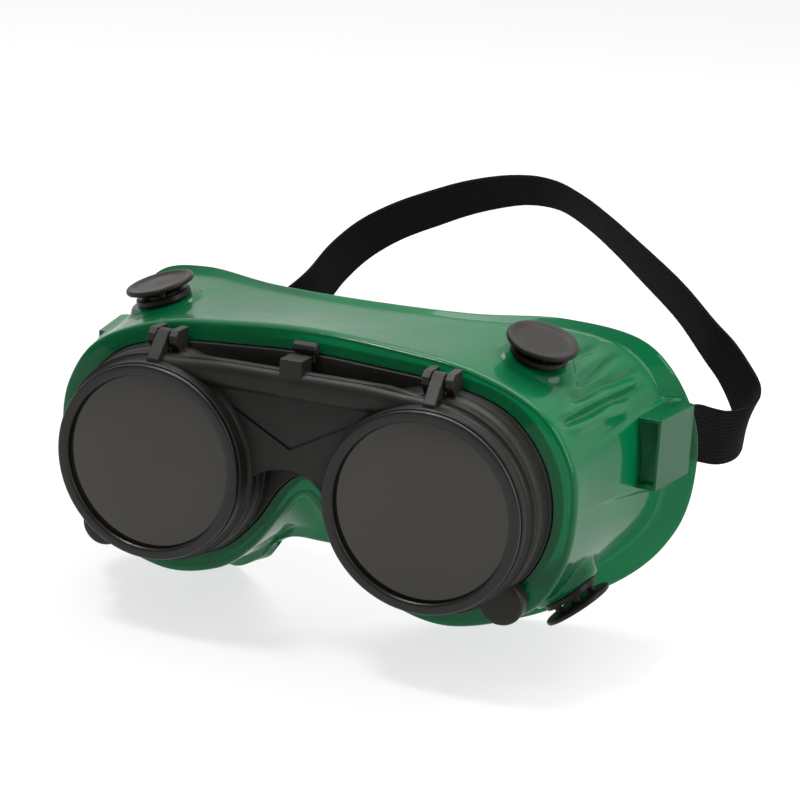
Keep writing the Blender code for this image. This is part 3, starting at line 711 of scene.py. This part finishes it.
def make_carrier():
    """Fixed frame: plate in the cup's opening, eye cups, corner ears, knuckles and tongue."""
    opening = closed_spline(OPENING, 12)
    plug = prism("plug", grown(opening, -0.35), "y", PLUG_FRONT, PLUG_BACK, BLACK)
    rear = prism("rear", grown(opening, 1.7), "y", PLUG_BACK - 0.1, REAR_BACK, BLACK)
    for plate in (plug, rear):
        carve(plate, [disc("window", s * EYE_X, 0, 10, 24, WINDOW_RADIUS) for s in (1, -1)])
        add_bevel(plate, 0.35, 2, 60)
    pieces = [plug, rear]
    for side in (1, -1):
        x = side * EYE_X
        cup_profile = [(25.5, 0.3), (25.9, 0), (29.0, 0), (29.4, 0.4), (29.75, 2.6), (29.75, 2.9),
                       (30.0, 3.1), (30.3, 6.1), (WINDOW_RADIUS, 6.1), (WINDOW_RADIUS, 3.6),
                       (25.5, 3.6)]
        pieces.append(turned("cup", cup_profile, (x, EYE_CUP_FRONT, 0), (0, 1, 0), BLACK, 128))
        ear = [(3.0, 0.0), (5.4, 0.0), (6.0, 0.35), (6.3, 1.1), (6.3, 4.6)]
        pieces.append(turned("ear", ear, (side * 59.3, 11.0, -24.6), (0, 1, 0), BLACK, 64,
                             ring=False))
        for inner, outer in ((2.05, 4.4), (-4.4, -2.05)):
            pieces.append(knuckle("knuckle", x + inner, x + outer))
    bar = [(1.2, 0), (1.6, 0.4), (1.6, 6.6), (1.2, 7.0)]
    pieces.append(turned("tongue_bar", bar, (-3.5, 14.4, 35.0), (1, 0, 0), BLACK, 32, ring=False))
    pieces.append(block("tongue_neck", (-2.7, 13.7, 31.0), (2.7, 15.3, 35.0), BLACK, 0.3))
    return joined("carrier_frame", pieces)


settle(make_carrier(), "goggles", "black_plastic", "lens_carrier")


# ------------------------------------------------------------------------------- flip-up front
WEB_FRONT, WEB_BACK, DISC_RADIUS = 6.0, 8.4, 29.2
RAIL_FRONT, RAIL_TOP, RAIL_LOW, RAIL_SINK = 4.3, 30.5, 22.8, 1.1


def make_rail():
    """Rounded bar along the top that runs into the hinge arms at its ends."""
    rows = []
    for x in np.linspace(-EYE_X, EYE_X, 61):
        top = RAIL_TOP - RAIL_SINK * float(smoothstep(18, EYE_X, abs(x)))
        row = [(RAIL_FRONT + 3.1 * (1 - sin(radians(a))), top - 3.6 * (1 - cos(radians(a))))
               for a in range(0, 91, 10)]
        row += [(RAIL_FRONT + 2.2 * (1 - cos(radians(a))), RAIL_LOW + 2.4 * (1 - sin(radians(a))))
                for a in range(0, 91, 15)]
        row += [(7.4, RAIL_LOW), (8.2, top - 0.3), (8.0, top)]
        rows.append([(float(x), depth, z) for depth, z in row])
    return grid("rail", rows, BLACK, caps=True, angle=50)


def make_flip_front():
    """Web with its V groove, arch over the nose, rail, cam, lens tubes and hinge arms."""
    outline = [(-38, 28.7), (-27, 30.3), (27, 30.3), (38, 28.7), (38, -12), (-38, -12)]
    web = prism("web", outline, "y", WEB_FRONT, WEB_BACK, BLACK)
    carve(web, [disc("disc", s * EYE_X, 0, WEB_FRONT, WEB_BACK, DISC_RADIUS, 128)
                for s in (1, -1)], "UNION")
    carve(web, [disc("arch", 0, -13.8, 0, 12, 17.0, 128)])
    grooves = []
    for side in (1, -1):
        line = [(side * 22.6, 20.9), (side * 22.2, 21.45), (-side * 0.35, 9.5), (0, 8.8)]
        grooves.append(prism("groove", line, "y", 5.0, 6.7, BLACK))
    windows = [disc("window", s * EYE_X, 0, 4, 10, WINDOW_RADIUS, 128) for s in (1, -1)]
    carve(web, grooves + windows)
    add_bevel(web, 0.3, 2, 50)
    pieces = [web, make_rail(), block("cam", (-3.2, 4.9, 27.0), (3.2, 11.4, 33.75), BLACK)]
    for side in (1, -1):
        x = side * EYE_X
        tube = [(26.6, 1.5), (27.5, 1.5), (27.8, 1.8), (27.8, 4.6), (27.95, 5.3), (28.4, 5.8),
                (29.1, 6.1), (29.1, 8.3), (WINDOW_RADIUS, 8.3), (WINDOW_RADIUS, 5.2),
                (26.6, 5.2)]
        pieces.append(turned("tube", tube, (x, 0, 0), (0, 1, 0), BLACK, 160))
        arm = [(8.9, 35.25), (2.9, 28.5), (2.9, 26.9), (6.6, 26.9), (8.3, 29.0), (9.4, 30.75),
               (HINGE_Y, HINGE_Z)]
        pieces.append(prism("arm", arm, "x", x - ARM_HALF, x + ARM_HALF, BLACK, 0.3))
        barrel = [(2.2, 0), (2.45, 0.25), (2.45, 3.25), (2.2, 3.5)]
        pieces.append(turned("barrel", barrel, (x - ARM_HALF, HINGE_Y, HINGE_Z), (1, 0, 0), BLACK,
                             32, ring=False))
    return joined("flip_front", pieces)


settle(make_flip_front(), "flip_front", "black_plastic", "flip_front_frame")


# ------------------------------------------------------------------------------- lenses and pins
DARK_GLASS_FRONT, CLEAR_GLASS_FRONT = 1.5, 10.5


def make_lenses(label, x):
    """Dark glass in its rim on the flip-up front, and the cover glass behind it."""
    ring = [(24.2, 0.75), (24.3, 0.45), (24.65, 0.12), (25.0, 0.0), (26.7, 0.0), (27.05, 0.1),
            (27.3, 0.4), (27.3, 1.05), (27.15, 1.2), (26.3, 1.2), (26.3, 4.6), (25.35, 4.6),
            (25.35, 1.25), (24.2, 1.2)]
    settle(turned("lens_rim_" + label, ring, (x, 0, 0), (0, 1, 0), RIM_BLACK, 192), "flip_front",
           "black_plastic", "dark_lens_ring_" + label)
    lens = [(24.5, 0.0), (24.9, 0.12), (25.0, 0.3), (25.0, 3.1), (24.8, 3.4)]
    settle(turned("welding_lens_" + label, lens, (x, DARK_GLASS_FRONT, 0), (0, 1, 0), DARK_GLASS,
                  160, ring=False),
           "flip_front", "dark_glass", "dark_lens_" + label)
    lens = [(24.6, 0.0), (25.0, 0.3), (25.0, 1.4), (24.6, 1.7)]
    settle(turned("cover_lens_" + label, lens, (x, CLEAR_GLASS_FRONT, 0), (0, 1, 0), CLEAR_GLASS,
                  128, ring=False),
           "goggles", "clear_glass", "clear_lens_" + label)


for side_label, lens_x in (("left", -EYE_X), ("right", EYE_X)):
    make_lenses(side_label, lens_x)
    for kept, finish in (("clear_lens_ring_", BLACK), ("hinge_pin_", STEEL),
                         ("strap_end_pin_", STEEL)):
        NODES[kept + side_label].data.materials[0] = finish


# ------------------------------------------------------------------------------- vents
POSTS = 6


def make_vent(label, seat, out):
    """Stem with its flange and six posts, and the cap that they hold clear of the wall."""
    out = Vector(out).normalized()
    seat = Vector(seat) + out * PAD_TALL
    bottom = -7.8
    base = [(4.6, 2.0), (7.5, 2.0), (7.8, 1.85), (7.9, 1.6), (7.9, 0.5), (7.7, 0.3), (5.9, 0.3),
            (5.9, bottom), (4.6, bottom)]
    pieces = [turned("base", base, seat, out, VENT_BLACK, 72)]
    turn = Vector((0, 0, 1)).rotation_difference(out)
    for index in range(POSTS):
        angle = 2 * pi * index / POSTS
        foot = seat + turn @ Vector((5.8 * cos(angle), 5.8 * sin(angle), 1.2))
        pieces.append(turned("post", [(0.9, 0), (0.9, 2.3)], foot, out, VENT_BLACK, 16,
                             ring=False))
    settle(joined("vent_stem_" + label, pieces), "goggles", "vent_plastic", "vent_base_" + label)
    cap = [(0.02, 5.02), (3.5, 4.98), (6.6, 4.95), (7.6, 5.05), (8.2, 5.35), (8.8, 5.5),
           (9.3, 5.48), (9.65, 5.35), (9.88, 5.0), (9.9, 4.5), (9.75, 4.2), (9.3, 4.0), (7.4, 3.8),
           (0.02, 3.8)]
    settle(turned("vent_hat_" + label, cap, seat, out, VENT_BLACK, 96, ring=False), "goggles",
           "vent_plastic", "vent_cap_" + label)
    NODES["vent_nut_" + label].data.materials[0] = VENT_BLACK


for vent_label, (vent_seat, vent_out) in VENTS.items():
    make_vent(vent_label, vent_seat, vent_out)

# ------------------------------------------------------------------------------- strap
STRAP_WIDTH, STRAP_THICK = 16.0, 1.0
LAYER = 1.35                                       # pitch of two layers that lie together
END_PIN_RADIUS, GAP = 0.8, 0.3
LOOP_RADIUS = END_PIN_RADIUS + GAP + STRAP_THICK / 2
LEFT_TAIL, RIGHT_TAIL = 73.0, 8.0                  # length folded back from each end pin
TAPER = 7.0                                        # where a folded end has come to lie flat
STRAP_EDGE = 0.12                                  # how far the edges are rounded
STEP, SECTION_STEPS, SPLINE_STEPS = 1.6, 9, 24
RUN = (Vector((-49.0, 107.5, 17.3)), Vector((-81.0, 88.3, 9.2)))   # straight part, for the slider
RUN_WAY = (-0.08, -0.3, 1)
UPRIGHT = (0, 0, 1)


def on_run(distance):
    """Point on the straight part, a distance from its upper end."""
    return RUN[0] + (RUN[1] - RUN[0]).normalized() * distance


ROUTE = [  # points from the right end pin to the left one, and the way the strap's width points
    ((85.2, 61.7, STRAP_Z), UPRIGHT), ((86.4, 68.8, STRAP_Z), UPRIGHT),
    ((87.6, 76.5, STRAP_Z), UPRIGHT), ((89.1, 83.2, STRAP_Z), UPRIGHT),
    ((92.0, 89.5, 5.4), UPRIGHT), ((95.6, 96.0, 3.4), UPRIGHT),
    ((98.6, 103.0, 3.5), (0.1, 0, 1)), ((99.6, 109.0, 6.2), (0.25, -0.1, 1)),
    ((97.8, 114.0, 10.2), (0.45, -0.3, 1)), ((94.3, 117.5, 14.3), (0.45, -0.45, 1)),
    ((89.0, 121.0, 19.5), (0.3, -0.45, 1)), ((82.5, 124.0, 24.5), (0.2, -0.5, 1)),
    ((71.0, 131.0, 33.0), (0.1, -0.56, 1)), ((55.0, 142.0, 41.0), (0.04, -0.64, 1)),
    ((42.0, 151.0, 47.0), (0, -0.73, 1)), ((31.0, 157.5, 51.5), (0, -0.85, 1)),
    ((20.0, 161.5, 54.8), (0, -1.0, 1)), ((8.0, 161.5, 55.0), (0, -1.03, 1)),
    ((-6.0, 157.0, 52.0), (0, -0.88, 1)), ((-18.0, 151.0, 47.5), (0, -0.75, 1)),
    ((-28.0, 144.5, 43.0), (0, -0.7, 1)), ((-36.0, 137.0, 37.5), (-0.06, -0.65, 1)),
    ((-41.0, 127.5, 31.0), (-0.12, -0.65, 1)), ((-44.0, 116.5, 23.5), (-0.15, -0.62, 1)),
    (RUN[0], RUN_WAY), (on_run(3.5), RUN_WAY), (on_run(14.0), RUN_WAY), (on_run(24.0), RUN_WAY),
    (on_run(34.0), RUN_WAY), (RUN[1], RUN_WAY),
    ((-85.3, 87.3, 8.1), (0, -0.1, 1)), ((-88.3, 85.6, STRAP_Z), UPRIGHT),
    ((-88.9, 81.5, STRAP_Z), UPRIGHT), ((-87.6, 76.5, STRAP_Z), UPRIGHT),
    ((-86.4, 68.8, STRAP_Z), UPRIGHT), ((-85.2, 61.7, STRAP_Z), UPRIGHT),
]


def strap_frames():
    """Point, width direction and outward direction at even steps along the strap."""
    points = [Vector(p) for p, _ in ROUTE]
    ways = [Vector(w).normalized() for _, w in ROUTE]
    dense, last = [], len(points) - 1
    for i in range(last):
        for k in range(SPLINE_STEPS):
            t = k / SPLINE_STEPS
            spot = spline_point(points[max(i - 1, 0)], points[i], points[i + 1],
                                points[min(i + 2, last)], t)
            dense.append((spot, ways[i].lerp(ways[i + 1], t)))
    dense.append((points[-1], ways[-1]))
    line, travelled = [dense[0]], 0.0
    for (start, _), (end, way) in zip(dense, dense[1:]):
        travelled += (end - start).length
        if travelled >= STEP:
            line.append((end, way))
            travelled = 0.0
    frames = []
    for i, (spot, way) in enumerate(line):
        along = (line[min(i + 1, len(line) - 1)][0] - line[max(i - 1, 0)][0]).normalized()
        way = (way - along * way.dot(along)).normalized()
        frames.append((spot, way, along.cross(way)))
    return frames


def folded_end(frames, tail):
    """Frames of the end that turns round its pin and lies back on the strap for a length."""
    spot, way, out = frames[0]
    along = (frames[1][0] - spot).normalized()
    centre = spot - out * LOOP_RADIUS
    turn = [(centre + out * LOOP_RADIUS * cos(a) - along * LOOP_RADIUS * sin(a), way,
             out * cos(a) - along * sin(a)) for a in (radians(d) for d in range(165, 0, -15))]
    layer, travelled = [], 0.0
    for (before, _, _), (point, way, out) in zip([frames[0]] + frames, frames):
        travelled += (point - before).length
        if travelled > tail:
            break
        spread = max(0.0, 1 - travelled / TAPER)
        offset = LAYER + (2 * LOOP_RADIUS - LAYER) * spread * spread * (3 - 2 * spread)
        layer.append((point - out * offset, way, -out))
    return list(reversed(layer)) + turn


def make_strap():
    """The elastic as one band: the end on the right pin, the whole course, the end on the left."""
    frames = strap_frames()
    path = folded_end(frames, RIGHT_TAIL) + frames
    path += list(reversed(folded_end(list(reversed(frames)), LEFT_TAIL)))
    half = STRAP_WIDTH / 2
    flat = half - STRAP_EDGE
    face, shoulder = STRAP_THICK / 2 * 0.95, STRAP_THICK / 2 * 0.3
    section = [(-flat + 2 * flat * k / SECTION_STEPS, face) for k in range(SECTION_STEPS)]
    section += [(flat, face), (half, shoulder), (half, -shoulder), (flat, -face)]
    section += [(flat - 2 * flat * (k + 1) / SECTION_STEPS, -face) for k in range(SECTION_STEPS)]
    section += [(-half, -shoulder), (-half, shoulder)]
    rows, lengths, travelled = [], [], 0.0
    for index, (spot, way, out) in enumerate(path):
        if index:
            travelled += (spot - path[index - 1][0]).length
        lengths.append(travelled)
        rows.append([tuple(spot + way * u + out * v) for u, v in section])
    strap = grid("strap_webbing", rows, WEBBING, caps=True, angle=50)
    layer = strap.data.uv_layers.new(name="UVMap")
    count = len(section)
    for polygon in strap.data.polygons:
        for loop in polygon.loop_indices:
            vertex = strap.data.loops[loop].vertex_index
            layer.data[loop].uv = (lengths[vertex // count] * MM, section[vertex % count][0] * MM)
    settle(strap, "goggles", "elastic_webbing", "elastic_strap")


SLIDER_LENGTH, SLIDER_DEPTH, SLIDER_HEIGHT = 15.0, 6.0, 23.0
SLIDER_AT = 19.5                                   # its middle along the straight part
SLIDER_CORNER, HOLE_CORNER = 1.9, 0.5
CORNER_STEPS = 8


def make_slider():
    """Flat tube round both layers of the strap, with softened ends."""
    along = (RUN[1] - RUN[0]).normalized()
    way = Vector(RUN_WAY)
    way = (way - along * way.dot(along)).normalized()
    out = along.cross(way)
    middle = on_run(SLIDER_AT) - out * LAYER / 2
    hole_depth, hole_height = LAYER + STRAP_THICK + 2 * GAP, STRAP_WIDTH + 4 * GAP

    def hoop(half_depth, half_height, corner, reach):
        points = []
        for quarter, (sx, sz) in enumerate(((1, 1), (-1, 1), (-1, -1), (1, -1))):
            for k in range(CORNER_STEPS + 1):
                a = radians(90 * quarter + 90 * k / CORNER_STEPS)
                points.append(middle + along * reach
                              + out * (sx * (half_depth - corner) + corner * cos(a))
                              + way * (sz * (half_height - corner) + corner * sin(a)))
        return [tuple(p) for p in points]

    half = SLIDER_LENGTH / 2
    rows = []
    for reach, swell in ((-half, -0.9), (-half + 0.35, -0.35), (-half + 1.1, 0.0), (0, 0.0),
                         (half - 1.1, 0.0), (half - 0.35, -0.35), (half, -0.9)):
        rows.append(hoop(SLIDER_DEPTH / 2 + swell, SLIDER_HEIGHT / 2 + swell, SLIDER_CORNER, reach))
    for reach in (half, -half):
        rows.append(hoop(hole_depth / 2, hole_height / 2, HOLE_CORNER, reach))
    settle(grid("strap_keeper", rows, BLACK, close_rows=True), "slider", "black_plastic",
           "strap_slider")


make_strap()
make_slider()
